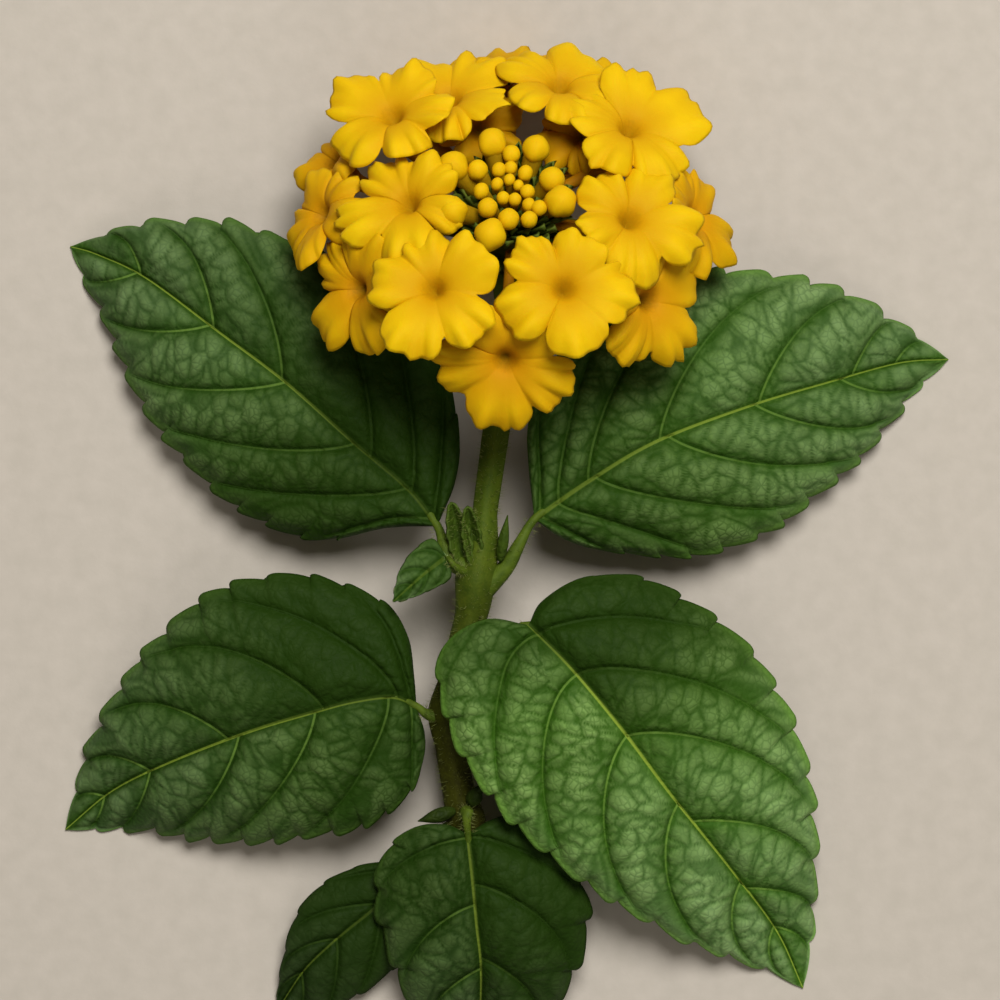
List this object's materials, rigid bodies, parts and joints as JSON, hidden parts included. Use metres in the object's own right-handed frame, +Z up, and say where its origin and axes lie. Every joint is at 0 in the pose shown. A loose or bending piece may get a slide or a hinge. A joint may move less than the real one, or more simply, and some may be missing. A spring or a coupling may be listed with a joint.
{
  "type": "lantana sprig",
  "caption": "Cut lantana sprig lying flat: a domed yellow umbel of florets round closed buds, on a stem with opposite toothed leaves.",
  "frame": {"origin": "on the surface that the sprig lies on, under the middle of its box", "axes": "+Y along the stem towards the flower head, +Z up from the surface, +X to the right seen from above"},
  "size_m": [0.0893, 0.1034, 0.0285],
  "materials": {
    "flower_yellow": "soft matt petals, deeper yellow in folds, olive throats",
    "leaf_green": "satin blade with a raised net of veins, pale yellow-green midrib",
    "stem_green": "finely hairy, green above and olive-brown below"
  },
  "bodies": {
    "root": {"flower_head": "flower_yellow", "stem": "stem_green", "leaf_axil": "leaf_green", "leaf_base_left": "leaf_green", "leaf_base_middle": "leaf_green", "leaf_lower_left": "leaf_green", "leaf_lower_right": "leaf_green", "leaf_upper_left": "leaf_green", "leaf_upper_right": "leaf_green"}
  },
  "joints": []
}
